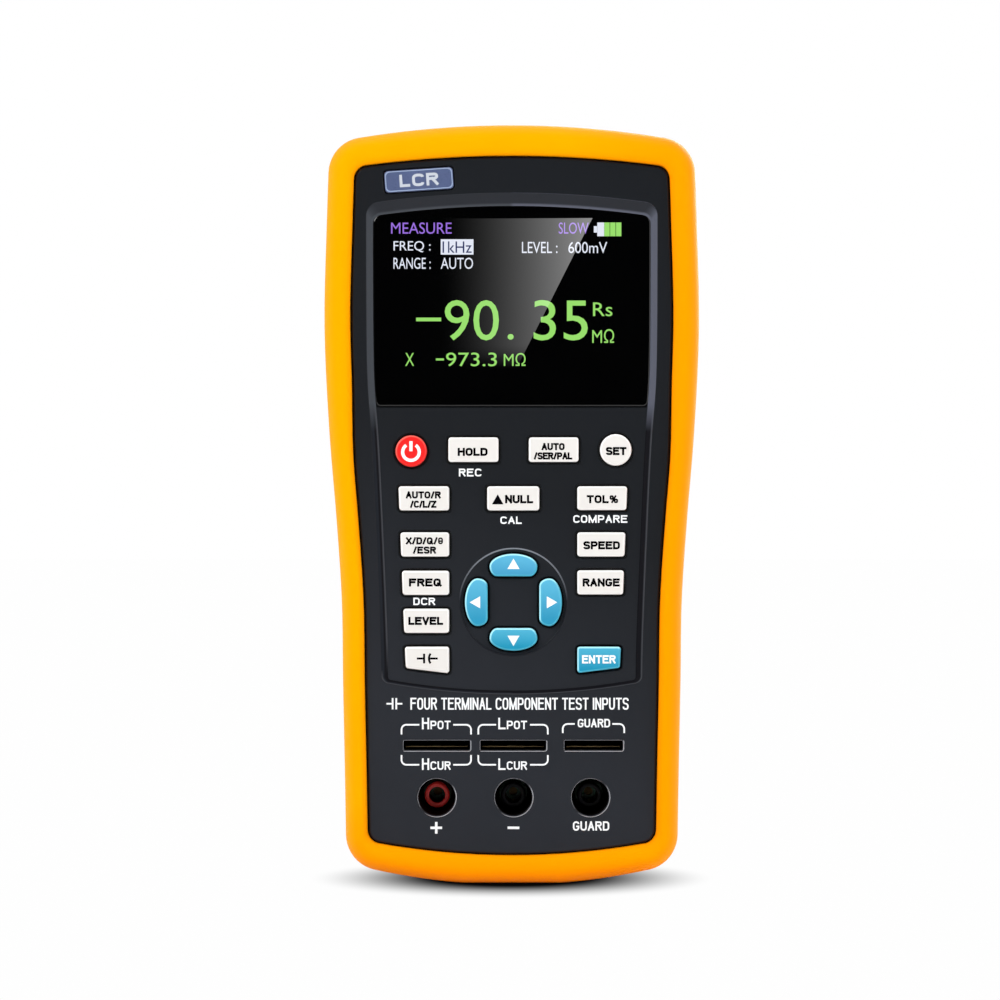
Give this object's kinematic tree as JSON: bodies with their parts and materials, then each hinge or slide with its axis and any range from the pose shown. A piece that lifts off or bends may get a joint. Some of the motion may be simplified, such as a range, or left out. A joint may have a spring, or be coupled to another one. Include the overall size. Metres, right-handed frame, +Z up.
{
  "type": "lcr meter",
  "caption": "Upright handheld component tester in a rubber surround, with a colour screen, press keys, recessed banana jacks, lead slots and a rear tilt stand.",
  "frame": {"origin": "centre of the bounding box's underside, on the meter's foot", "axes": "+Z up the meter from the jacks to the screen, -Y out of the front panel, +X to the reader's right"},
  "size_m": [0.093, 0.041, 0.188],
  "materials": {
    "holster_yellow": "soft matt moulded rubber, orange yellow",
    "case_grey": "fine spark-eroded texture, dark blue grey",
    "window_black": "clear acrylic, printed black round the screen",
    "screen": "lit colour screen behind the window",
    "key_white": "satin, off-white",
    "key_blue": "satin, sky blue",
    "key_red": "satin, bright red",
    "jack_red": "satin, dark red",
    "lead_red": "insulated wire pair",
    "black_plastic": "satin black",
    "white_plastic": "satin white",
    "brass": "bright, plated",
    "steel": "zinc plated",
    "badge_blue": "slate blue plate with a pale border",
    "board_green": "solder resist, green",
    "flex_amber": "polyimide film",
    "mat_grey": "moulded silicone",
    "battery_blue": "shrink sleeve"
  },
  "bodies": {
    "meter": {"holster": "holster_yellow", "front_case": "case_grey", "rear_case": "case_grey", "display_window": "window_black", "lcd_panel": "screen", "lcd_backlight": "white_plastic", "lcd_frame": "steel", "display_ribbon": "flex_amber", "display_socket": "white_plastic", "badge": "badge_blue", "keypad_mat": "mat_grey", "main_board": "board_green", "processor_chip": "black_plastic", "converter_chip": "black_plastic", "range_relay": "white_plastic", "battery_socket": "white_plastic", "buzzer": "black_plastic", "terminal_board": "board_green", "board_link": "flex_amber", "terminal_block": "black_plastic", "jack_post_plus": "jack_red", "jack_post_minus": "black_plastic", "jack_post_guard": "black_plastic", "jack_socket_plus": "brass", "jack_socket_minus": "brass", "jack_socket_guard": "brass", "contact_high_pot": "brass", "contact_high_cur": "brass", "contact_low_pot": "brass", "contact_low_cur": "brass", "contact_guard": "brass", "battery_pack": "battery_blue", "battery_cover": "case_grey", "battery_lead": "lead_red", "cover_screw_1": "steel", "cover_screw_2": "steel", "case_screw_1": "steel", "case_screw_2": "steel", "case_screw_3": "steel", "case_screw_4": "steel", "stand_pin": "steel"},
    "key_power": {"key_power": "key_red"},
    "key_hold": {"key_hold": "key_white"},
    "key_circuit": {"key_circuit": "key_white"},
    "key_set": {"key_set": "key_white"},
    "key_function": {"key_function": "key_white"},
    "key_null": {"key_null": "key_white"},
    "key_tolerance": {"key_tolerance": "key_white"},
    "key_parameter": {"key_parameter": "key_white"},
    "key_speed": {"key_speed": "key_white"},
    "key_frequency": {"key_frequency": "key_white"},
    "key_range": {"key_range": "key_white"},
    "key_level": {"key_level": "key_white"},
    "key_sorting": {"key_sorting": "key_white"},
    "key_enter": {"key_enter": "key_blue"},
    "key_up": {"key_up": "key_blue"},
    "key_left": {"key_left": "key_blue"},
    "key_down": {"key_down": "key_blue"},
    "key_right": {"key_right": "key_blue"},
    "stand": {"tilt_stand": "case_grey"}
  },
  "joints": [
    {"name": "press_power", "type": "slide", "parent": "meter", "child": "key_power", "axis": [0, 1, 0], "range_m": [0, 0.001], "stiffness_N_per_m": 250, "springref_m": -0.0008},
    {"name": "press_hold", "type": "slide", "parent": "meter", "child": "key_hold", "axis": [0, 1, 0], "range_m": [0, 0.001], "stiffness_N_per_m": 250, "springref_m": -0.0008},
    {"name": "press_circuit", "type": "slide", "parent": "meter", "child": "key_circuit", "axis": [0, 1, 0], "range_m": [0, 0.001], "stiffness_N_per_m": 250, "springref_m": -0.0008},
    {"name": "press_set", "type": "slide", "parent": "meter", "child": "key_set", "axis": [0, 1, 0], "range_m": [0, 0.001], "stiffness_N_per_m": 250, "springref_m": -0.0008},
    {"name": "press_function", "type": "slide", "parent": "meter", "child": "key_function", "axis": [0, 1, 0], "range_m": [0, 0.001], "stiffness_N_per_m": 250, "springref_m": -0.0008},
    {"name": "press_null", "type": "slide", "parent": "meter", "child": "key_null", "axis": [0, 1, 0], "range_m": [0, 0.001], "stiffness_N_per_m": 250, "springref_m": -0.0008},
    {"name": "press_tolerance", "type": "slide", "parent": "meter", "child": "key_tolerance", "axis": [0, 1, 0], "range_m": [0, 0.001], "stiffness_N_per_m": 250, "springref_m": -0.0008},
    {"name": "press_parameter", "type": "slide", "parent": "meter", "child": "key_parameter", "axis": [0, 1, 0], "range_m": [0, 0.001], "stiffness_N_per_m": 250, "springref_m": -0.0008},
    {"name": "press_speed", "type": "slide", "parent": "meter", "child": "key_speed", "axis": [0, 1, 0], "range_m": [0, 0.001], "stiffness_N_per_m": 250, "springref_m": -0.0008},
    {"name": "press_frequency", "type": "slide", "parent": "meter", "child": "key_frequency", "axis": [0, 1, 0], "range_m": [0, 0.001], "stiffness_N_per_m": 250, "springref_m": -0.0008},
    {"name": "press_range", "type": "slide", "parent": "meter", "child": "key_range", "axis": [0, 1, 0], "range_m": [0, 0.001], "stiffness_N_per_m": 250, "springref_m": -0.0008},
    {"name": "press_level", "type": "slide", "parent": "meter", "child": "key_level", "axis": [0, 1, 0], "range_m": [0, 0.001], "stiffness_N_per_m": 250, "springref_m": -0.0008},
    {"name": "press_sorting", "type": "slide", "parent": "meter", "child": "key_sorting", "axis": [0, 1, 0], "range_m": [0, 0.001], "stiffness_N_per_m": 250, "springref_m": -0.0008},
    {"name": "press_enter", "type": "slide", "parent": "meter", "child": "key_enter", "axis": [0, 1, 0], "range_m": [0, 0.001], "stiffness_N_per_m": 250, "springref_m": -0.0008},
    {"name": "press_up", "type": "slide", "parent": "meter", "child": "key_up", "axis": [0, 1, 0], "range_m": [0, 0.001], "stiffness_N_per_m": 250, "springref_m": -0.0008},
    {"name": "press_left", "type": "slide", "parent": "meter", "child": "key_left", "axis": [0, 1, 0], "range_m": [0, 0.001], "stiffness_N_per_m": 250, "springref_m": -0.0008},
    {"name": "press_down", "type": "slide", "parent": "meter", "child": "key_down", "axis": [0, 1, 0], "range_m": [0, 0.001], "stiffness_N_per_m": 250, "springref_m": -0.0008},
    {"name": "press_right", "type": "slide", "parent": "meter", "child": "key_right", "axis": [0, 1, 0], "range_m": [0, 0.001], "stiffness_N_per_m": 250, "springref_m": -0.0008},
    {"name": "stand_swing", "type": "hinge", "parent": "meter", "child": "stand", "pos_m": [0, 0.0179, 0.1245], "axis": [1, 0, 0], "range_deg": [0, 55]}
  ]
}
